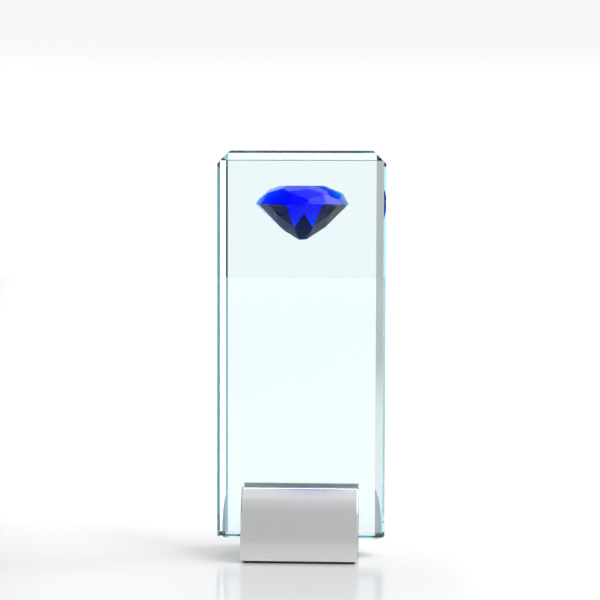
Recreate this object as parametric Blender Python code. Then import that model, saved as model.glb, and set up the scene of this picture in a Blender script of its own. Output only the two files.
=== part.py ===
"""Crystal award: a bevelled optical-glass plaque with a blue half-brilliant gem bonded to its
front face, held upright in a slotted, arched aluminium base.

Units are metres, +Z is up. The origin is the centre of the face that the award rests on.
The front of the award looks toward -Y, and the plaque's width runs along X.
"""

import math

import bmesh
import bpy
import numpy as np
from mathutils import Vector

MM = 0.001

# --- plaque ---------------------------------------------------------------------------------
PLATE_W = 80.0 * MM
PLATE_H = 184.0 * MM
PLATE_T = 15.0 * MM
PLATE_Z0 = 9.2 * MM  # underside of the glass above the table
PLATE_BEVEL = 4.5 * MM  # 45 degree bevels, front and back, on the sides and the top
PLATE_CORNER = 6.2 * MM  # leg of the 45 degree cut across each top corner
PLATE_FOOT_ARRIS = 0.4 * MM  # small ground arris along the bottom edges

# --- half-brilliant gem ---------------------------------------------------------------------
# A brilliant cut by a plane parallel to its axis and a little in front of it. Heights are above
# the girdle plane, and radii are from the brilliant's own axis.
GEM_X = 0.6 * MM
GEM_GIRDLE_Z = 167.8 * MM  # height of the girdle plane
GEM_AXIS_BEHIND = 3.7 * MM  # how far the brilliant's axis lies behind the gem's flat back
GEM_TABLE_H = 8.7 * MM
GEM_CULET_D = 19.93 * MM  # where the main facets would meet
GEM_APEX_R = 19.45 * MM  # star facet's outer point
GEM_APEX_H = 5.2 * MM
GEM_GIRDLE_APOTHEM = 22.06 * MM  # of the sixteen-sided girdle
GEM_STAR_SLOPE = 23.7
GEM_KITE_SLOPE = 43.1
GEM_LOWER_SLOPE = 44.8
GEM_MAIN_SLOPE = 40.9
GEM_CROWN_TURN = 10.0  # degrees from the front to the first kite facet
GEM_PAVILION_TURN = 4.5  # degrees from the front to the first main facet

# --- clear adhesive film between gem and plaque ---------------------------------------------
FILM_T = 0.2 * MM
FILM_GAP = 0.1 * MM
FILM_INSET = 0.4 * MM

# --- aluminium base -------------------------------------------------------------------------
BASE_L = 55.0 * MM
BASE_HALF_DEPTH = 22.5 * MM
BASE_Z0 = 1.0 * MM
BASE_ARCH_H = 34.8 * MM  # height of the arch above BASE_Z0, before the slot is cut
BASE_ARCH_POWER = 2.4
BASE_FOOT_RADIUS = 0.8 * MM
BASE_EDGE = 0.35 * MM
SLOT_HALF = 8.7 * MM
SLOT_Z0 = 8.0 * MM

# --- slot liner -----------------------------------------------------------------------------
LINER_L = 54.0 * MM
LINER_T = 0.6 * MM
LINER_Z1 = 31.6 * MM
GAP = 0.3 * MM

# --- grub screws in the back of the base ----------------------------------------------------
SCREW_X = 15.0 * MM
SCREW_Z = 20.0 * MM
SCREW_R = 2.2 * MM
SCREW_L = 8.0 * MM
SCREW_SOCKET_AF = 2.5 * MM
SCREW_SOCKET_DEPTH = 3.0 * MM
SCREW_HOLE_R = 2.5 * MM

# --- foam pad under the base ----------------------------------------------------------------
PAD_L = 52.0 * MM
PAD_D = 42.0 * MM
PAD_T = 0.7 * MM
PAD_CORNER = 2.0 * MM


def clear_scene():
    for obj in list(bpy.data.objects):
        bpy.data.objects.remove(obj, do_unlink=True)
    for mesh in list(bpy.data.meshes):
        bpy.data.meshes.remove(mesh)


def material(name, colour, metallic=0.0, roughness=0.5, transmission=0.0, ior=1.5):
    made = bpy.data.materials.new(name)
    made.use_nodes = True
    shader = made.node_tree.nodes["Principled BSDF"]
    shader.inputs["Base Color"].default_value = (*colour, 1.0)
    shader.inputs["Metallic"].default_value = metallic
    shader.inputs["Roughness"].default_value = roughness
    shader.inputs["Transmission Weight"].default_value = transmission
    shader.inputs["IOR"].default_value = ior
    made.diffuse_color = (*colour, 1.0)
    return made


def add_object(name, bm, mat, smooth_angle=None):
    bmesh.ops.recalc_face_normals(bm, faces=bm.faces)
    mesh = bpy.data.meshes.new(name)
    bm.to_mesh(mesh)
    bm.free()
    obj = bpy.data.objects.new(name, mesh)
    bpy.context.scene.collection.objects.link(obj)
    mesh.materials.append(mat)
    if smooth_angle is not None:
        mesh.shade_smooth()
        mesh.set_sharp_from_angle(angle=math.radians(smooth_angle))
    return obj


def convex_solid(planes, reach):
    """The solid inside every (normal, distance) plane, cut one after another from a large block."""
    bm = bmesh.new()
    bmesh.ops.create_cube(bm, size=2.0 * reach)
    for normal, distance in planes:
        normal = Vector(normal).normalized()
        cut = bmesh.ops.bisect_plane(
            bm,
            geom=bm.verts[:] + bm.edges[:] + bm.faces[:],
            dist=1e-8,
            plane_co=normal * distance,
            plane_no=normal,
            clear_outer=True,
        )
        edges = [e for e in cut["geom_cut"] if isinstance(e, bmesh.types.BMEdge)]
        edges = [e for e in edges if e.is_valid and len(e.link_faces) == 1]
        if len(edges) > 2:
            bmesh.ops.edgeloop_fill(bm, edges=edges)
    bmesh.ops.remove_doubles(bm, verts=bm.verts, dist=2e-6)
    return bm


def move(bm, offset):
    bmesh.ops.translate(bm, verts=bm.verts, vec=Vector(offset))
    return bm


def extrude_profile(points, length):
    """A closed (y, z) outline extruded along X, centred on x = 0."""
    bm = bmesh.new()
    verts = [bm.verts.new((-length / 2, y, z)) for y, z in points]
    face = bm.faces.new(verts)
    moved = bmesh.ops.extrude_face_region(bm, geom=[face])
    new_verts = [v for v in moved["geom"] if isinstance(v, bmesh.types.BMVert)]
    bmesh.ops.translate(bm, verts=new_verts, vec=(length, 0, 0))
    return bm


def plate_planes():
    half_w, half_t, half_h = PLATE_W / 2, PLATE_T / 2, PLATE_H / 2
    planes = [
        ((1, 0, 0), half_w),
        ((-1, 0, 0), half_w),
        ((0, 1, 0), half_t),
        ((0, -1, 0), half_t),
        ((0, 0, 1), half_h),
        ((0, 0, -1), half_h),
    ]
    root = math.sqrt(0.5)
    for side in (-1, 1):
        for face in (-1, 1):
            planes.append(((side, face, 0), (half_w + half_t - PLATE_BEVEL) * root))
    for face in (-1, 1):
        planes.append(((0, face, 1), (half_h + half_t - PLATE_BEVEL) * root))
        planes.append(((0, face, -1), (half_h + half_t - PLATE_FOOT_ARRIS) * root))
    for side in (-1, 1):
        planes.append(((side, 0, 1), (half_w + half_h - PLATE_CORNER) * root))
    return planes


def facet(turn, slope, radius, height):
    """A plane that faces azimuth turn (degrees from -Y toward +X) and passes radius out, height up.

    slope is the facet's angle from the horizontal, positive where it faces up. The gem's flat
    back is at y = 0."""
    a, s = math.radians(turn), math.radians(abs(slope))
    up = 1.0 if slope > 0 else -1.0
    normal = (math.sin(a) * math.sin(s), -math.cos(a) * math.sin(s), up * math.cos(s))
    distance = radius * math.sin(s) + height * up * math.cos(s)
    return normal, distance + normal[1] * GEM_AXIS_BEHIND


def gem_planes():
    planes = [((0, 1, 0), 0.0), ((0, 0, 1), GEM_TABLE_H)]
    kite_radius = GEM_APEX_R * math.cos(math.radians(22.5))
    girdle_radius = GEM_APEX_R * math.cos(math.radians(11.25))
    upper_slope = math.degrees(
        math.atan2(GEM_APEX_H, GEM_GIRDLE_APOTHEM - girdle_radius)
    )
    for k in range(8):
        turn = GEM_CROWN_TURN + 45.0 * k
        planes.append(facet(turn + 22.5, GEM_STAR_SLOPE, GEM_APEX_R, GEM_APEX_H))
        planes.append(facet(turn, GEM_KITE_SLOPE, kite_radius, GEM_APEX_H))
        for half in (-11.25, 11.25):
            planes.append(facet(turn + half, upper_slope, GEM_GIRDLE_APOTHEM, 0.0))
        turn = GEM_PAVILION_TURN + 45.0 * k
        planes.append(facet(turn, -GEM_MAIN_SLOPE, 0.0, -GEM_CULET_D))
        for half in (-11.25, 11.25):
            planes.append(
                facet(turn + half, -GEM_LOWER_SLOPE, GEM_GIRDLE_APOTHEM, 0.0)
            )
    return planes


def gem_outline(inset):
    """The gem's flat back, seen along Y, as a convex (x, z) outline pulled in by inset."""
    bm = convex_solid(gem_planes(), 0.05)
    points = sorted({(round(v.co.x, 7), round(v.co.z, 7)) for v in bm.verts if abs(v.co.y) < 1e-6})
    bm.free()
    centre = np.mean(points, axis=0)
    ordered = sorted(points, key=lambda p: math.atan2(p[1] - centre[1], p[0] - centre[0]))
    planes = []
    for (x0, z0), (x1, z1) in zip(ordered, ordered[1:] + ordered[:1]):
        along = Vector((x1 - x0, 0, z1 - z0))
        if along.length < 1e-5:
            continue
        outward = Vector((along.z, 0, -along.x)).normalized()
        planes.append((outward, outward.dot(Vector((x0, 0, z0))) - inset))
    return planes


def arch_half_depth(height):
    share = min(1.0, max(0.0, height / BASE_ARCH_H))
    return BASE_HALF_DEPTH * (1.0 - share**BASE_ARCH_POWER) ** (1.0 / BASE_ARCH_POWER)


def arch_height(depth):
    share = depth / BASE_HALF_DEPTH
    return BASE_ARCH_H * (1.0 - share**BASE_ARCH_POWER) ** (1.0 / BASE_ARCH_POWER)


def base_profile(steps=26, foot_steps=4):
    """Half of the outline on the +Y side from the foot to the slot's floor, then its mirror."""
    side = []
    r = BASE_FOOT_RADIUS
    for k in range(foot_steps + 1):
        a = math.pi / 2 * k / foot_steps
        side.append((BASE_HALF_DEPTH - r + r * math.sin(a), BASE_Z0 + r - r * math.cos(a)))
    start = math.asin(min(1.0, (r / BASE_ARCH_H) ** (BASE_ARCH_POWER / 2)))
    end = math.acos((SLOT_HALF / BASE_HALF_DEPTH) ** (BASE_ARCH_POWER / 2))
    for k in range(1, steps + 1):
        a = start + (end - start) * k / steps
        y = BASE_HALF_DEPTH * math.cos(a) ** (2 / BASE_ARCH_POWER)
        side.append((y, BASE_Z0 + BASE_ARCH_H * math.sin(a) ** (2 / BASE_ARCH_POWER)))
    side.append((SLOT_HALF, SLOT_Z0))
    return side + [(-y, z) for y, z in reversed(side)]


def round_rod(radius, y0, y1, x, z, sides):
    """A closed cylinder along Y."""
    bm = bmesh.new()
    rings = []
    for y in (y0, y1):
        rings.append(
            [
                bm.verts.new(
                    (
                        x + radius * math.cos(2 * math.pi * (k + 0.5) / sides),
                        y,
                        z + radius * math.sin(2 * math.pi * (k + 0.5) / sides),
                    )
                )
                for k in range(sides)
            ]
        )
    for k in range(sides):
        n = (k + 1) % sides
        bm.faces.new((rings[0][k], rings[0][n], rings[1][n], rings[1][k]))
    bm.faces.new(rings[0])
    bm.faces.new(rings[1])
    bmesh.ops.recalc_face_normals(bm, faces=bm.faces)
    return bm


def cut(obj, cutter):
    cutter.hide_render = True
    cutter.display_type = "WIRE"
    modifier = obj.modifiers.new("cut_" + cutter.name, "BOOLEAN")
    modifier.operation = "DIFFERENCE"
    modifier.solver = "EXACT"
    modifier.object = cutter


def make_plate(mat):
    bm = convex_solid(plate_planes(), 0.2)
    move(bm, (0, 0, PLATE_Z0 + PLATE_H / 2))
    return add_object("crystal_plate", bm, mat)


def make_gem(mat):
    bm = convex_solid(gem_planes(), 0.05)
    move(bm, (GEM_X, -(PLATE_T / 2 + FILM_T + 2 * FILM_GAP), GEM_GIRDLE_Z))
    return add_object("half_brilliant_gem", bm, mat)


def make_film(mat):
    planes = gem_outline(FILM_INSET)
    planes += [((0, 1, 0), FILM_T / 2), ((0, -1, 0), FILM_T / 2)]
    bm = convex_solid(planes, 0.05)
    move(bm, (GEM_X, -(PLATE_T / 2 + FILM_GAP + FILM_T / 2), GEM_GIRDLE_Z))
    return add_object("gem_adhesive_film", bm, mat)


def make_base(mat, cutter_mat):
    bm = extrude_profile(base_profile(), BASE_L)
    base = add_object("base_block", bm, mat, 25)
    edge = base.modifiers.new("edge_break", "BEVEL")
    edge.width = BASE_EDGE
    edge.segments = 1
    edge.limit_method = "ANGLE"
    edge.angle_limit = math.radians(50)
    for side, x in (("left", -SCREW_X), ("right", SCREW_X)):
        bore = round_rod(SCREW_HOLE_R, SLOT_HALF - 2 * MM, BASE_HALF_DEPTH + 2 * MM, x, SCREW_Z, 24)
        cut(base, add_object("cutter_screw_hole_" + side, bore, cutter_mat))
    return base


def make_liner(mat):
    outer, inner = SLOT_HALF - GAP, SLOT_HALF - GAP - LINER_T
    low = SLOT_Z0 + GAP
    outline = [
        (outer, low),
        (outer, LINER_Z1),
        (inner, LINER_Z1),
        (inner, low + LINER_T),
        (-inner, low + LINER_T),
        (-inner, LINER_Z1),
        (-outer, LINER_Z1),
        (-outer, low),
    ]
    return add_object("slot_liner", extrude_profile(outline, LINER_L), mat)


def make_screw(side, x, mat, cutter_mat):
    tip = SLOT_HALF
    bm = round_rod(SCREW_R, tip, tip + SCREW_L, x, SCREW_Z, 24)
    screw = add_object("grub_screw_" + side, bm, mat, 40)
    socket = round_rod(
        SCREW_SOCKET_AF / 2 / math.cos(math.pi / 6),
        tip + SCREW_L - SCREW_SOCKET_DEPTH,
        tip + SCREW_L + 1 * MM,
        x,
        SCREW_Z,
        6,
    )
    cut(screw, add_object("cutter_socket_" + side, socket, cutter_mat))
    return screw


def make_pad(mat):
    bm = bmesh.new()
    outline = []
    for cx, cy, start in ((1, 1, 0), (-1, 1, 90), (-1, -1, 180), (1, -1, 270)):
        for k in range(7):
            a = math.radians(start + 15 * k)
            outline.append(
                (
                    cx * (PAD_L / 2 - PAD_CORNER) + PAD_CORNER * math.cos(a),
                    cy * (PAD_D / 2 - PAD_CORNER) + PAD_CORNER * math.sin(a),
                )
            )
    face = bm.faces.new([bm.verts.new((x, y, 0.0)) for x, y in outline])
    moved = bmesh.ops.extrude_face_region(bm, geom=[face])
    top = [v for v in moved["geom"] if isinstance(v, bmesh.types.BMVert)]
    bmesh.ops.translate(bm, verts=top, vec=(0, 0, PAD_T))
    return add_object("foam_base_pad", bm, mat)


def main():
    clear_scene()
    glass = material("optical_glass", (0.86, 0.97, 0.95), 0.0, 0.0, 1.0, 1.52)
    blue = material("blue_crystal", (0.01, 0.03, 0.9), 0.0, 0.0, 1.0, 1.54)
    adhesive = material("clear_adhesive", (0.95, 0.97, 0.97), 0.0, 0.1, 1.0, 1.5)
    aluminium = material("satin_aluminium", (0.78, 0.79, 0.80), 1.0, 0.28)
    liner = material("clear_vinyl", (0.8, 0.82, 0.83), 0.0, 0.35)
    steel = material("screw_steel", (0.35, 0.35, 0.36), 1.0, 0.35)
    foam = material("black_foam", (0.03, 0.03, 0.032), 0.0, 0.9)
    helper = material("cutter", (1.0, 0.2, 0.2))

    make_plate(glass)
    make_gem(blue)
    make_film(adhesive)
    make_base(aluminium, helper)
    make_liner(liner)
    make_screw("left", -SCREW_X, steel, helper)
    make_screw("right", SCREW_X, steel, helper)
    make_pad(foam)


main()
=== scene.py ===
import math

import bmesh
import bpy
from mathutils import Matrix, Vector


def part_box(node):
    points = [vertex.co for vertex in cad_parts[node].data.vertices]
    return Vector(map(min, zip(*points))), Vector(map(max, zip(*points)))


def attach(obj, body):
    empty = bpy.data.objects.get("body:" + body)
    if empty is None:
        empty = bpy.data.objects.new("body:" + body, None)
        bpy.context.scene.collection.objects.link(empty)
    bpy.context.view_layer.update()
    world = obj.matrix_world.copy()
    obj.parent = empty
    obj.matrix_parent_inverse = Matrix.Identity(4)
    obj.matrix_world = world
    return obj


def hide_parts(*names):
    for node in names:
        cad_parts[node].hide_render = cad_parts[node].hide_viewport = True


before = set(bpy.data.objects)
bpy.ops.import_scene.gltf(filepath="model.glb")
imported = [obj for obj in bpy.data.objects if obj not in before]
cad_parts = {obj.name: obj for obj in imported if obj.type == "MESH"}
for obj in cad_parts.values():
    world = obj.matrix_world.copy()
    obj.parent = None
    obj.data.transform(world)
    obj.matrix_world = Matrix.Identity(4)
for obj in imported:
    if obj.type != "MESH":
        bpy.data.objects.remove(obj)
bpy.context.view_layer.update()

MM = 0.001
plate_lo, plate_hi = (Vector(v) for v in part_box("crystal_plate"))
gem_lo, gem_hi = (Vector(v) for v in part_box("half_brilliant_gem"))
film_lo, film_hi = (Vector(v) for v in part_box("gem_adhesive_film"))
base_lo, base_hi = (Vector(v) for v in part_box("base_block"))
liner_lo, liner_hi = (Vector(v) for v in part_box("slot_liner"))
pad_lo, pad_hi = (Vector(v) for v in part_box("foam_base_pad"))

# ------------------------------------------------------------------ camera
CAM_TURN = 2.53  # degrees round the award toward its right
CAM_PAN = 0.05
CAM_TILT = 3.114
CAM_ROLL = 0.162
CAM_DIST = 829.8 * MM
CAM_Z = 167.5 * MM
CAM_FOCAL_PX = 1745.0


def make_camera():
    turn, look = math.radians(CAM_TURN), math.radians(CAM_TURN + CAM_PAN)
    tilt, roll = math.radians(CAM_TILT), math.radians(CAM_ROLL)
    data = bpy.data.cameras.new("camera")
    data.sensor_width = 36.0
    data.lens = CAM_FOCAL_PX / 600.0 * 36.0
    data.clip_start, data.clip_end = 0.02, 50.0
    cam = bpy.data.objects.new("camera", data)
    bpy.context.scene.collection.objects.link(cam)
    ahead = Vector(
        (-math.sin(look) * math.cos(tilt), math.cos(look) * math.cos(tilt), -math.sin(tilt))
    )
    right = Vector((math.cos(look), math.sin(look), 0))
    up = right.cross(ahead)
    right, up = (
        right * math.cos(roll) + up * math.sin(roll),
        up * math.cos(roll) - right * math.sin(roll),
    )
    place = Matrix((right, up, -ahead)).transposed().to_4x4()
    place.translation = (CAM_DIST * math.sin(turn), -CAM_DIST * math.cos(turn), CAM_Z)
    cam.matrix_world = place
    bpy.context.scene.camera = cam


make_camera()


# ------------------------------------------------------------------ node helpers
class Tree:
    def __init__(self, owner):
        owner.use_nodes = True
        self.tree = owner.node_tree
        self.tree.nodes.clear()

    def add(self, kind, **values):
        node = self.tree.nodes.new(kind)
        for key, value in values.items():
            setattr(node, key, value)
        return node

    def link(self, source, target):
        self.tree.links.new(source, target)

    def math(self, operation, a, b=None, c=None, clamp=False):
        node = self.add("ShaderNodeMath", operation=operation, use_clamp=clamp)
        for socket, value in zip(node.inputs, (a, b, c)):
            self.put(socket, value)
        return node.outputs[0]

    def put(self, socket, value):
        if value is None:
            return
        if isinstance(value, bpy.types.NodeSocket):
            self.link(value, socket)
        else:
            socket.default_value = value

    def ramp(self, value, low, high, out_low=0.0, out_high=1.0, kind="SMOOTHSTEP"):
        node = self.add("ShaderNodeMapRange", interpolation_type=kind, clamp=True)
        for socket, put in zip(
            [node.inputs["Value"], node.inputs["From Min"], node.inputs["From Max"], node.inputs["To Min"], node.inputs["To Max"]],
            (value, low, high, out_low, out_high),
        ):
            self.put(socket, put)
        return node.outputs["Result"]

    def noise(self, vector, scale, detail=3.0, rough=0.5, distortion=0.0):
        node = self.add("ShaderNodeTexNoise")
        self.link(vector, node.inputs["Vector"])
        node.inputs["Scale"].default_value = scale
        node.inputs["Detail"].default_value = detail
        node.inputs["Roughness"].default_value = rough
        node.inputs["Distortion"].default_value = distortion
        return node.outputs["Fac"]

    def mapping(self, vector, scale=(1, 1, 1), rotation=(0, 0, 0)):
        node = self.add("ShaderNodeMapping")
        self.link(vector, node.inputs["Vector"])
        node.inputs["Scale"].default_value = scale
        node.inputs["Rotation"].default_value = rotation
        return node.outputs["Vector"]

    def mix(self, factor, a, b):
        node = self.add("ShaderNodeMix", data_type="RGBA")
        self.put(node.inputs["Factor"], factor)
        self.put(node.inputs["A"], a)
        self.put(node.inputs["B"], b)
        return node.outputs["Result"]

    def bump(self, height, strength, distance, normal=None):
        node = self.add("ShaderNodeBump")
        node.inputs["Strength"].default_value = strength
        node.inputs["Distance"].default_value = distance
        self.link(height, node.inputs["Height"])
        if normal is not None:
            self.link(normal, node.inputs["Normal"])
        return node.outputs["Normal"]


def new_material(name):
    made = bpy.data.materials.new(name)
    return made, Tree(made)


# ------------------------------------------------------------------ materials
GLASS_ABSORB = (14.0, 6.5, 5.5)  # per metre
GEM_ABSORB = (1400.0, 330.0, 5.0)
BONDED = "bonded"  # face attribute: 1 where clear adhesive wets the face, so light passes straight on


def add_absorption(t, out, absorb):
    density = max(absorb) / 0.9
    node = t.add("ShaderNodeVolumeAbsorption")
    node.inputs["Color"].default_value = (*[1.0 - a / density for a in absorb], 1.0)
    node.inputs["Density"].default_value = density
    t.link(node.outputs["Volume"], out.inputs["Volume"])


def glass_material(name, ior, absorb, wave_scale, wave_height, tint=1.0):
    """Polished glass: faint long waves from polishing and a bulk tint. It bends nothing at its bonded faces."""
    mat, t = new_material(name)
    out = t.add("ShaderNodeOutputMaterial")
    shader = t.add("ShaderNodeBsdfPrincipled")
    place = t.add("ShaderNodeTexCoord").outputs["Object"]
    shader.inputs["Base Color"].default_value = (1, 1, 1, 1)
    shader.inputs["Transmission Weight"].default_value = 1.0
    shader.inputs["IOR"].default_value = ior
    shader.inputs["Roughness"].default_value = 0.0
    shader.inputs["Specular Tint"].default_value = (tint, tint, tint, 1)
    bonded = t.add("ShaderNodeAttribute", attribute_name=BONDED, attribute_type="GEOMETRY").outputs["Fac"]
    t.link(t.math("MULTIPLY_ADD", bonded, 1.0 - ior, ior), shader.inputs["IOR"])
    if wave_height:
        wave = t.noise(place, wave_scale, 1.0, 0.4)
        t.link(t.bump(wave, 1.0, wave_height), shader.inputs["Normal"])
    if absorb:
        add_absorption(t, out, absorb)
    t.link(shader.outputs["BSDF"], out.inputs["Surface"])
    return mat


def aluminium_material():
    mat, t = new_material("satin_aluminium")
    out = t.add("ShaderNodeOutputMaterial")
    shader = t.add("ShaderNodeBsdfPrincipled")
    place = t.add("ShaderNodeTexCoord").outputs["Object"]
    along = t.mapping(place, (6.0, 1400.0, 1400.0))
    lines = t.noise(along, 1.0, 4.0, 0.6)
    grain = t.noise(place, 9000.0, 2.0, 0.5)
    cloud = t.noise(place, 60.0, 3.0, 0.5)
    tone = t.math("MULTIPLY_ADD", lines, 0.35, t.math("MULTIPLY", cloud, 0.65))
    shader.inputs["Metallic"].default_value = 1.0
    face = t.add("ShaderNodeSeparateXYZ")
    t.link(t.add("ShaderNodeTexCoord").outputs["Normal"], face.inputs[0])
    sawn_finish_and_painted_shade = t.ramp(t.math("ABSOLUTE", face.outputs[0]), 0.35, 0.60)  # the two cut ends: a darker colour that is partly a duller sawn finish and partly painted shade for the shadowed floor they mirror, and a higher roughness
    colour = t.mix(tone, (0.80, 0.81, 0.825, 1), (0.86, 0.865, 0.875, 1))
    # the cut ends' darker colour is partly sawn finish and partly painted shade
    t.link(t.mix(sawn_finish_and_painted_shade, colour, (0.38, 0.43, 0.47, 1)), shader.inputs["Base Color"])
    rough = t.math("MULTIPLY_ADD", lines, 0.05, 0.17)
    rough = t.math("MULTIPLY_ADD", cloud, 0.03, rough)
    rough = t.math("MULTIPLY_ADD", sawn_finish_and_painted_shade, 0.22, rough)
    spot = t.add("ShaderNodeSeparateXYZ")
    t.link(place, spot.inputs[0])
    milled = t.ramp(t.math("ABSOLUTE", spot.outputs[1]), 0.00874, 0.00884, 1.0, 0.0)  # the slot's own walls
    rough = t.math("MULTIPLY_ADD", milled, 0.4, rough)
    t.link(rough, shader.inputs["Roughness"])
    shader.inputs["Anisotropic"].default_value = 0.3
    normal = t.bump(lines, 0.12, 0.00002)
    t.link(t.bump(grain, 0.06, 0.00001, normal), shader.inputs["Normal"])
    t.link(shader.outputs["BSDF"], out.inputs["Surface"])
    return mat


def liner_material():
    mat, t = new_material("liner_vinyl")
    out = t.add("ShaderNodeOutputMaterial")
    shader = t.add("ShaderNodeBsdfPrincipled")
    place = t.add("ShaderNodeTexCoord").outputs["Object"]
    cloud = t.noise(place, 300.0, 3.0)
    t.link(t.mix(cloud, (0.86, 0.87, 0.88, 1), (0.94, 0.94, 0.95, 1)), shader.inputs["Base Color"])
    t.link(t.math("MULTIPLY_ADD", cloud, 0.2, 0.3), shader.inputs["Roughness"])
    shader.inputs["Transmission Weight"].default_value = 0.15
    shader.inputs["IOR"].default_value = 1.46
    t.link(t.bump(t.noise(place, 2500.0, 2.0), 0.2, 0.00003), shader.inputs["Normal"])
    t.link(shader.outputs["BSDF"], out.inputs["Surface"])
    return mat


def steel_material():
    mat, t = new_material("screw_steel")
    out = t.add("ShaderNodeOutputMaterial")
    shader = t.add("ShaderNodeBsdfPrincipled")
    place = t.add("ShaderNodeTexCoord").outputs["Object"]
    cloud = t.noise(place, 900.0, 4.0)
    t.link(t.mix(cloud, (0.22, 0.22, 0.23, 1), (0.38, 0.38, 0.39, 1)), shader.inputs["Base Color"])
    shader.inputs["Metallic"].default_value = 1.0
    t.link(t.math("MULTIPLY_ADD", cloud, 0.2, 0.25), shader.inputs["Roughness"])
    t.link(t.bump(t.noise(place, 6000.0, 2.0), 0.15, 0.00002), shader.inputs["Normal"])
    t.link(shader.outputs["BSDF"], out.inputs["Surface"])
    return mat


def foam_material():
    mat, t = new_material("foam")
    out = t.add("ShaderNodeOutputMaterial")
    shader = t.add("ShaderNodeBsdfPrincipled")
    place = t.add("ShaderNodeTexCoord").outputs["Object"]
    cells = t.add("ShaderNodeTexVoronoi")
    t.link(place, cells.inputs["Vector"])
    cells.inputs["Scale"].default_value = 2200.0
    pits = cells.outputs["Distance"]
    t.link(t.mix(pits, (0.012, 0.012, 0.013, 1), (0.05, 0.05, 0.052, 1)), shader.inputs["Base Color"])
    shader.inputs["Roughness"].default_value = 0.9
    t.link(t.bump(pits, 0.6, 0.0001), shader.inputs["Normal"])
    t.link(shader.outputs["BSDF"], out.inputs["Surface"])
    return mat


plate_glass = glass_material("optical_glass", 1.52, GLASS_ABSORB, 28.0, 0.0)
gem_glass = glass_material("blue_crystal", 1.53, GEM_ABSORB, 60.0, 0.0, 0.15)
film_clear = glass_material("clear_adhesive", 1.5, None, 900.0, 0.000002)
aluminium = aluminium_material()
vinyl = liner_material()
steel = steel_material()
foam = foam_material()


# ------------------------------------------------------------------ mesh helpers
def finish_piece(name, bm, mat, node, smooth_angle=None, bonded=None):
    bmesh.ops.recalc_face_normals(bm, faces=bm.faces)
    mesh = bpy.data.meshes.new(name)
    bm.to_mesh(mesh)
    bm.free()
    if bonded is not None:
        mark = mesh.attributes.new(BONDED, "FLOAT", "FACE")
        for face, put in zip(mesh.polygons, mark.data):
            put.value = 1.0 if bonded(face.center, face.normal) else 0.0
    obj = bpy.data.objects.new(name, mesh)
    bpy.context.scene.collection.objects.link(obj)
    mesh.materials.append(mat)
    if smooth_angle is not None:
        mesh.shade_smooth()
        mesh.set_sharp_from_angle(angle=math.radians(smooth_angle))
    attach(obj, "root")
    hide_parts(node)
    return obj


def cad_copy(node):
    """The CAD solid's own flat faces, joined back up from its triangles."""
    bm = bmesh.new()
    bm.from_mesh(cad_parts[node].data)
    bmesh.ops.remove_doubles(bm, verts=bm.verts, dist=2e-6)
    bmesh.ops.dissolve_limit(
        bm, angle_limit=math.radians(0.6), verts=bm.verts, edges=bm.edges, delimit=set()
    )
    return bm


def outline_planes(points, inset):
    """Half-planes (point, outward normal) round a convex set of (x, z) points."""
    cx = sum(p[0] for p in points) / len(points)
    cz = sum(p[1] for p in points) / len(points)
    order = sorted(points, key=lambda p: math.atan2(p[1] - cz, p[0] - cx))
    planes = []
    for (x0, z0), (x1, z1) in zip(order, order[1:] + order[:1]):
        along = Vector((x1 - x0, 0, z1 - z0))
        if along.length < 1e-5:
            continue
        out = Vector((along.z, 0, -along.x)).normalized()
        if out.dot(Vector((x0 - cx, 0, z0 - cz))) < 0:
            out = -out
        planes.append((Vector((x0, 0, z0)) - out * inset, out))
    return planes


PLATE_FRONT, PLATE_REAR, PLATE_CORNER = 4.5 * MM, 4.6 * MM, 6.2 * MM
PLATE_TOE, PLATE_HEEL = 0.15 * MM, 1.1 * MM  # at the hidden foot, front and back


def plate_cuts():
    """Each bevel as (point on it, outward normal)."""
    cuts = []
    for sx, wall in ((-1, plate_lo.x), (1, plate_hi.x)):
        cuts.append(((wall, plate_lo.y + PLATE_FRONT, 0), (sx, -1, 0)))
        cuts.append(((wall, plate_hi.y - PLATE_REAR, 0), (sx, 1, 0)))
        cuts.append(((wall, 0, plate_hi.z - PLATE_CORNER), (sx, 0, 1)))
    cuts.append(((0, plate_lo.y, plate_hi.z - PLATE_FRONT), (0, -1, 1)))
    cuts.append(((0, plate_hi.y, plate_hi.z - PLATE_REAR), (0, 1, 1)))
    cuts.append(((0, plate_lo.y, plate_lo.z + PLATE_TOE), (0, -1, -1)))
    cuts.append(((0, plate_hi.y, plate_lo.z + PLATE_HEEL), (0, 1, -1)))
    return cuts


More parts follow.
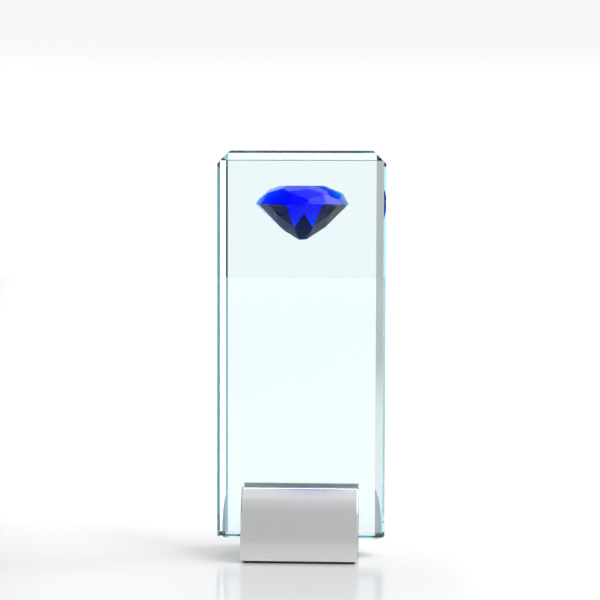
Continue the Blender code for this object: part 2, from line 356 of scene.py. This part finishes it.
def make_plate():
    bm = bmesh.new()
    middle, size = (plate_lo + plate_hi) / 2, plate_hi - plate_lo
    bmesh.ops.create_cube(bm, size=1.0, matrix=Matrix.Translation(middle) @ Matrix.Diagonal((*size, 1)))
    for point, normal in plate_cuts():
        made = bmesh.ops.bisect_plane(
            bm, geom=bm.verts[:] + bm.edges[:] + bm.faces[:], dist=1e-7, plane_co=point, plane_no=normal, clear_outer=True
        )
        rim = [g for g in made["geom_cut"] if isinstance(g, bmesh.types.BMEdge)]
        bmesh.ops.contextual_create(bm, geom=rim)
    bmesh.ops.recalc_face_normals(bm, faces=bm.faces)
    bmesh.ops.bevel(
        bm,
        geom=bm.edges[:],
        offset=0.03 * MM,
        offset_type="OFFSET",
        segments=1,
        affect="EDGES",
        clamp_overlap=True,
    )
    bm.faces.ensure_lookup_table()
    bmesh.ops.recalc_face_normals(bm, faces=bm.faces)
    front = [f for f in bm.faces if f.normal.y < -0.9999 and f.calc_area() > 1e-3]
    planes = outline_planes(film_outline(), -0.02 * MM)
    group = front
    for co, no in planes:
        geom = list(group) + [e for f in group for e in f.edges] + [v for f in group for v in f.verts]
        geom = list(dict.fromkeys(geom))
        bmesh.ops.bisect_plane(bm, geom=geom, dist=1e-7, plane_co=co, plane_no=no)
        group = [f for f in bm.faces if f.normal.y < -0.9999 and abs(f.calc_center_median().y - plate_lo.y) < 1e-6]

    def under_gem(c, n):
        return n.y < -0.9999 and all((c - co).dot(no) < 1e-7 for co, no in planes)

    return finish_piece("plaque_glass", bm, plate_glass, "crystal_plate", bonded=under_gem)


def film_outline():
    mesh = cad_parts["gem_adhesive_film"].data
    return sorted({(round(v.co.x, 6), round(v.co.z, 6)) for v in mesh.vertices})


def make_gem():
    bm = cad_copy("half_brilliant_gem")
    back_y = gem_hi.y
    edges = [e for e in bm.edges if not all(abs(v.co.y - back_y) < 1e-6 for v in e.verts)]
    bmesh.ops.bevel(
        bm, geom=edges, offset=0.035 * MM, offset_type="OFFSET", segments=1, affect="EDGES", clamp_overlap=True
    )
    return finish_piece(
        "half_brilliant", bm, gem_glass, "half_brilliant_gem",
        bonded=lambda c, n: n.y > 0.9999 and abs(c.y - back_y) < 1e-5,
    )


def make_film():
    """The cured film fills the gap from the plaque to the gem, with a slightly drawn-in edge."""
    bm = cad_copy("gem_adhesive_film")
    gap = 0.012 * MM
    y0, y1 = gem_hi.y + gap, plate_lo.y - gap
    mid = (film_lo.y + film_hi.y) / 2
    for v in bm.verts:
        v.co.y = y0 if v.co.y < mid else y1
    return finish_piece(
        "adhesive_film", bm, film_clear, "gem_adhesive_film",
        bonded=lambda c, n: abs(n.y) > 0.999,
    )


# ------------------------------------------------------------------ base
ARCH_H = 34.8 * MM
ARCH_POWER = 2.4
SLOT_HALF = 8.7 * MM
SLOT_Z0 = 8.0 * MM
FOOT_R = 0.8 * MM
EDGE = 0.35 * MM
SCREW_X = 15.0 * MM
SCREW_Z = 20.0 * MM


def arch_profile(steps, shrink=0.0):
    """The base's end outline, pulled in by shrink along its own normals."""
    half = base_hi.y
    z0 = base_lo.z
    side = []
    r = FOOT_R
    for k in range(9):
        a = math.pi / 2 * k / 8
        side.append(Vector((half - r + (r - shrink) * math.sin(a), z0 + r - (r - shrink) * math.cos(a))))
    start = math.asin(min(1.0, (r / ARCH_H) ** (ARCH_POWER / 2)))
    end = math.acos((SLOT_HALF / half) ** (ARCH_POWER / 2))
    for k in range(1, steps + 1):
        a = start + (end - start) * k / steps
        c, s = math.cos(a), math.sin(a)
        y = half * c ** (2 / ARCH_POWER)
        z = ARCH_H * s ** (2 / ARCH_POWER)
        n = Vector(((y / half) ** (ARCH_POWER - 1) / half, (z / ARCH_H) ** (ARCH_POWER - 1) / ARCH_H)).normalized()
        side.append(Vector((y, z0 + z)) - n * shrink)
    # near the top the arch straightens and then rolls over into the slot
    lip = 0.35 * MM
    knee, roll = 15.0 * MM, 11.45 * MM
    side = [p for p in side if p.x > knee - shrink]
    at = side[-1].copy()
    for k in range(1, 13):
        turn = math.radians(45.7 - 1.2 * (k - 0.5) / 12)
        step = (at.x - (roll - shrink)) / (13 - k)
        at = Vector((at.x - step, at.y + step * math.tan(turn)))
        side.append(at.copy())
    lean = math.radians(45.5)
    reach = (at.x - SLOT_HALF - shrink - lip) / math.cos(lean)
    for k in range(1, 21):
        n = lean + (math.pi / 2 - lean) * k / 20
        side.append(
            Vector((at.x - reach * (math.cos(lean) - math.cos(n)), at.y + reach * (math.sin(n) - math.sin(lean))))
        )
    # a small radius where the arch meets the slot, then the wall and a radius at the slot's floor
    top = side[-1].copy()
    side[-1] = Vector((SLOT_HALF + shrink + lip, top.y - 0.02 * MM))
    for k in range(1, 6):
        a = math.pi / 2 * k / 5
        side.append(Vector((SLOT_HALF + shrink + lip - lip * math.sin(a), top.y - lip + lip * math.cos(a) - 0.02 * MM)))
    fr = 0.5 * MM
    for k in range(5):
        a = math.pi / 2 * k / 4
        side.append(Vector((SLOT_HALF + shrink - fr + fr * math.cos(a), SLOT_Z0 - shrink + fr - fr * math.sin(a))))
    return side + [Vector((-p.x, p.y)) for p in reversed(side)]


def make_base():
    full, small = arch_profile(110), arch_profile(110, EDGE)
    half = base_hi.x
    rings = []
    bm = bmesh.new()
    for x, outline in (
        (-half, small),
        (-half + EDGE * 0.3, [a.lerp(b, 0.7) for a, b in zip(small, full)]),
        (-half + EDGE, full),
        (half - EDGE, full),
        (half - EDGE * 0.3, [a.lerp(b, 0.7) for a, b in zip(small, full)]),
        (half, small),
    ):
        rings.append([bm.verts.new((x, p.x, p.y)) for p in outline])
    n = len(full)
    for a, b in zip(rings, rings[1:]):
        for k in range(n):
            bm.faces.new((a[k], a[(k + 1) % n], b[(k + 1) % n], b[k]))
    bm.faces.new(rings[0])
    bm.faces.new(rings[-1])
    obj = finish_piece("base_arch", bm, aluminium, "base_block", 22)
    for side, x in (("left", -SCREW_X), ("right", SCREW_X)):
        cutter = hole_cutter("cutter_" + side, x)
        mod = obj.modifiers.new("hole_" + side, "BOOLEAN")
        mod.operation = "DIFFERENCE"
        mod.solver = "EXACT"
        mod.object = cutter
    graph = bpy.context.evaluated_depsgraph_get()
    mesh = bpy.data.meshes.new_from_object(obj.evaluated_get(graph))
    obj.modifiers.clear()
    obj.data = mesh
    mesh.shade_smooth()
    mesh.set_sharp_from_angle(angle=math.radians(22))
    for side in ("left", "right"):
        bpy.data.objects.remove(bpy.data.objects["cutter_" + side], do_unlink=True)
    return obj


def thread_radius(y, angle, pitch, low, high):
    phase = (y / pitch - angle / (2 * math.pi)) % 1.0
    tri = 1.0 - abs(2.0 * phase - 1.0)
    return low + (high - low) * min(1.0, max(0.0, (tri - 0.12) / 0.76))


def threaded_rod(bm, x, z, y0, y1, low, high, pitch, sides, per_pitch, taper0=0.0, taper1=0.0):
    """Rings of verts along Y whose radius follows a helical thread; returns the end rings."""
    rings = []
    steps = max(2, int(round((y1 - y0) / pitch * per_pitch)))
    for i in range(steps + 1):
        y = y0 + (y1 - y0) * i / steps
        ring = []
        for k in range(sides):
            a = 2 * math.pi * k / sides
            r = thread_radius(y - y0, a, pitch, low, high)
            if taper0:
                r = min(r, low + (high - low) * (y - y0) / taper0)
            if taper1:
                r = min(r, low + (high - low) * (y1 - y) / taper1)
            ring.append(bm.verts.new((x + r * math.cos(a), y, z + r * math.sin(a))))
        rings.append(ring)
    for a, b in zip(rings, rings[1:]):
        for k in range(sides):
            bm.faces.new((a[k], b[k], b[(k + 1) % sides], a[(k + 1) % sides]))
    return rings[0], rings[-1]


def hole_cutter(name, x):
    bm = bmesh.new()
    first, last = threaded_rod(
        bm, x, SCREW_Z, SLOT_HALF - 1 * MM, base_hi.y + 1 * MM, 2.42 * MM, 2.62 * MM, 0.8 * MM, 36, 6
    )
    bm.faces.new(first)
    bm.faces.new(last)
    bmesh.ops.recalc_face_normals(bm, faces=bm.faces)
    mesh = bpy.data.meshes.new(name)
    bm.to_mesh(mesh)
    bm.free()
    obj = bpy.data.objects.new(name, mesh)
    bpy.context.scene.collection.objects.link(obj)
    obj.hide_render = True
    return obj


def make_screw(side):
    lo, hi = (Vector(v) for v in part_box("grub_screw_" + side))
    x, z = (lo.x + hi.x) / 2, (lo.z + hi.z) / 2
    sides = 48
    bm = bmesh.new()
    first, last = threaded_rod(
        bm, x, z, lo.y, hi.y, 1.92 * MM, (hi.x - lo.x) / 2, 0.8 * MM, sides, 8, 0.3 * MM, 0.3 * MM
    )
    bm.faces.new(first)
    # hex socket with a chamfered mouth
    af = 2.5 * MM / 2

    def hex_ring(y, scale, count=sides):
        ring = []
        for k in range(count):
            a = 2 * math.pi * k / count
            near = (a + math.pi / 6) % (math.pi / 3) - math.pi / 6
            r = af / math.cos(near) * scale
            ring.append(bm.verts.new((x + r * math.cos(a), y, z + r * math.sin(a))))
        return ring

    mouth = []
    for k in range(sides):
        a = 2 * math.pi * k / sides
        mouth.append(bm.verts.new((x + 1.52 * MM * math.cos(a), hi.y, z + 1.52 * MM * math.sin(a))))
    rings = [last, mouth, hex_ring(hi.y - 0.15 * MM, 1.0), hex_ring(hi.y - 2.4 * MM, 1.0)]
    for a, b in zip(rings, rings[1:]):
        for k in range(sides):
            bm.faces.new((a[k], b[k], b[(k + 1) % sides], a[(k + 1) % sides]))
    tip = bm.verts.new((x, hi.y - 2.8 * MM, z))
    for k in range(sides):
        bm.faces.new((rings[-1][k], tip, rings[-1][(k + 1) % sides]))
    return finish_piece("set_screw_" + side, bm, steel, "grub_screw_" + side, 35)


def make_liner():
    """Soft U strip, its lips rounded, filling the slot from metal to glass."""
    outer, inner = SLOT_HALF - 0.03 * MM, plate_hi.y + 0.03 * MM
    low, top = SLOT_Z0 + 0.03 * MM, liner_hi.z
    floor_top = plate_lo.z - 0.03 * MM
    t = outer - inner
    side = []
    lip = t / 2
    for k in range(9):
        a = math.pi * k / 8
        side.append((inner + lip + lip * math.cos(a), top - lip + lip * math.sin(a)))
    half = [(outer, low + 0.5 * MM)] + side + [(inner, floor_top + 0.3 * MM), (inner - 0.3 * MM, floor_top)]
    start = [(outer - 0.5 * MM, low)]
    right = start + half
    outline = right + [(-y, z) for y, z in reversed(right)]
    bm = bmesh.new()
    x0, x1 = liner_lo.x, liner_hi.x
    a = [bm.verts.new((x0, y, z)) for y, z in outline]
    b = [bm.verts.new((x1, y, z)) for y, z in outline]
    n = len(outline)
    for k in range(n):
        bm.faces.new((a[k], a[(k + 1) % n], b[(k + 1) % n], b[k]))
    bm.faces.new(a)
    bm.faces.new(b)
    return finish_piece("slot_strip", bm, vinyl, "slot_liner", 40)


def make_pad():
    bm = bmesh.new()
    cx, cy = (pad_hi.x - pad_lo.x) / 2, (pad_hi.y - pad_lo.y) / 2
    r = 2.0 * MM
    rings = []
    top = base_lo.z - 0.01 * MM
    for z, pull in ((0.0, 0.12 * MM), (0.1 * MM, 0.0), (top - 0.1 * MM, 0.0), (top, 0.12 * MM)):
        ring = []
        for sx, sy, start in ((1, 1, 0), (-1, 1, 90), (-1, -1, 180), (1, -1, 270)):
            for k in range(13):
                a = math.radians(start + 7.5 * k)
                ring.append(
                    bm.verts.new(
                        (
                            sx * (cx - r) + (r - pull) * math.cos(a),
                            sy * (cy - r) + (r - pull) * math.sin(a),
                            z,
                        )
                    )
                )
        rings.append(ring)
    n = len(rings[0])
    for a, b in zip(rings, rings[1:]):
        for k in range(n):
            bm.faces.new((a[k], a[(k + 1) % n], b[(k + 1) % n], b[k]))
    bm.faces.new(rings[0])
    bm.faces.new(rings[-1])
    return finish_piece("base_foam", bm, foam, "foam_base_pad", 30)


make_plate()
make_gem()
make_film()
make_base()
make_liner()
make_screw("left")
make_screw("right")
make_pad()


# ------------------------------------------------------------------ stage and light
def make_floor():
    mat, t = new_material("studio_floor")
    out = t.add("ShaderNodeOutputMaterial")
    shader = t.add("ShaderNodeBsdfPrincipled")
    place = t.add("ShaderNodeSeparateXYZ")
    t.link(t.add("ShaderNodeTexCoord").outputs["Object"], place.inputs[0])
    fx, fy, _ = place.outputs
    # painted shade: the floor's colour darkens toward the lens in front of the award, except on the key's side, and a
    # painted shadow darkens it again out past the left of the picture
    near = t.math("MULTIPLY", t.ramp(fy, -0.05, 0.16, 1.0, 0.0), t.ramp(fx, 0.06, 0.12, 1.0, 0.0))
    past = t.math("SUBTRACT", t.math("MULTIPLY", fx, -1.0), t.math("MULTIPLY_ADD", fy, 0.19, 0.178))
    painted_floor_shade = t.math("MULTIPLY", t.math("MULTIPLY_ADD", near, -0.24, 1.0), t.ramp(past, -0.08, 0.12, 1.0, 0.45))
    # the floor colour carries painted shade in front and a painted shadow on the left
    t.link(t.mix(painted_floor_shade, (0, 0, 0, 1), (0.955, 0.955, 0.965, 1)), shader.inputs["Base Color"])
    shader.inputs["Roughness"].default_value = 0.16
    shader.inputs["IOR"].default_value = 1.6
    t.link(shader.outputs["BSDF"], out.inputs["Surface"])
    bm = bmesh.new()
    bmesh.ops.create_circle(bm, cap_ends=True, segments=96, radius=3.2)
    mesh = bpy.data.meshes.new("floor")
    bm.to_mesh(mesh)
    bm.free()
    obj = bpy.data.objects.new("floor", mesh)
    mesh.materials.append(mat)
    bpy.context.scene.collection.objects.link(obj)
    return obj


def make_world():
    """A studio as light comes from it, by direction: azimuth from behind the award (0), + to its right."""
    world = bpy.data.worlds.new("studio")
    bpy.context.scene.world = world
    t = Tree(world)
    out = t.add("ShaderNodeOutputWorld")
    direction = t.add("ShaderNodeTexCoord").outputs["Generated"]
    split = t.add("ShaderNodeSeparateXYZ")
    t.link(direction, split.inputs[0])
    x, y, z = split.outputs
    el = t.math("MULTIPLY", t.math("ARCSINE", z), 180 / math.pi)
    az = t.math("MULTIPLY", t.math("ARCTAN2", x, y), 180 / math.pi)
    off = t.math("ABSOLUTE", az)

    def both(a, b):
        return t.math("MULTIPLY", a, b)

    def band(v, a0, a1, b0, b1):
        return both(t.ramp(v, a0, a1), t.ramp(v, b0, b1, 1.0, 0.0))

    # behind: the white sweep, brighter to the right and grey to the left, up to its top edge;
    # past its sides a lit panel on the left and the dark room on the right
    sweep = t.ramp(az, -17.0, -12.0, 0.575, 1.077)
    sweep = both(sweep, t.ramp(az, 12.0, 19.0, 1.0, 1.40))
    sweep = both(sweep, t.ramp(az, 48.0, 60.0, 1.0, 0.05))
    sweep = both(sweep, t.ramp(az, -54.0, -44.0, 3.2, 1.0))
    top_edge = t.ramp(off, 14.0, 24.0, 28.9, 25.0)
    sweep = both(sweep, t.ramp(t.math("SUBTRACT", el, top_edge), -0.6, 0.6, 1.0, 0.03))
    # above and behind: a large diffuser, laid out on a level plane overhead
    level = t.math("MAXIMUM", z, 0.05)
    back = t.math("DIVIDE", y, level)
    side = t.math("ABSOLUTE", t.math("DIVIDE", x, level))
    high = t.math("ADD", both(band(back, 0.24, 0.30, 0.56, 0.68), 3.2), both(band(back, 0.02, 0.10, 0.24, 0.30), 1.4))
    high = both(both(high, t.ramp(side, 0.25, 0.45, 1.0, 0.0)), t.ramp(el, 35.0, 45.0))
    rear = t.math("ADD", sweep, high)
    # in front: the dim room, lighter overhead and dark to both sides
    front = t.math(
        "ADD",
        t.ramp(el, 40.0, 56.0, 0.56, 0.64, kind="LINEAR"),
        t.ramp(el, 56.0, 79.0, 0.0, 0.19, kind="LINEAR"),
    )
    wall = both(t.ramp(el, 1.5, 4.0, 0.05, 1.0), t.ramp(el, 20.0, 28.0, 1.0, 0.10))
    front = t.mix(t.ramp(off, 135.0, 152.0), wall, front)
    value = t.mix(t.ramp(off, 78.0, 92.0), rear, front)
    value = t.math("MAXIMUM", value, both(t.ramp(el, 68.0, 79.0), 0.83))
    value = t.math("ADD", value, both(t.ramp(el, 80.5, 83.5), 0.32))
    # the key: a soft box to the right and a little in front
    key = both(band(az, 62.0, 70.0, 130.0, 138.0), band(el, 31.0, 35.0, 60.0, 64.0))
    value = t.math("MAXIMUM", value, t.math("MULTIPLY", key, 7.5))
    env = t.add("ShaderNodeBackground")
    env.inputs["Color"].default_value = (1, 1, 1, 1)
    t.link(value, env.inputs["Strength"])
    plain = t.add("ShaderNodeBackground")
    t.link(t.mix(t.ramp(el, 4.0, 5.4), (1, 1, 1, 1), (0.925, 0.912, 0.916, 1)), plain.inputs["Color"])
    plain.inputs["Strength"].default_value = 1.02
    path = t.add("ShaderNodeLightPath")
    mix = t.add("ShaderNodeMixShader")
    t.link(path.outputs["Is Camera Ray"], mix.inputs["Fac"])
    t.link(env.outputs[0], mix.inputs[1])
    t.link(plain.outputs[0], mix.inputs[2])
    t.link(mix.outputs[0], out.inputs["Surface"])


make_floor()
make_world()

scene = bpy.context.scene
scene.view_settings.view_transform = "Standard"
scene.view_settings.look = "None"
scene.view_settings.exposure = 0.0
scene.view_settings.gamma = 1.0
scene.cycles.max_bounces = 32
scene.cycles.transmission_bounces = 32
scene.cycles.glossy_bounces = 16
scene.cycles.transparent_max_bounces = 32
scene.cycles.diffuse_bounces = 4
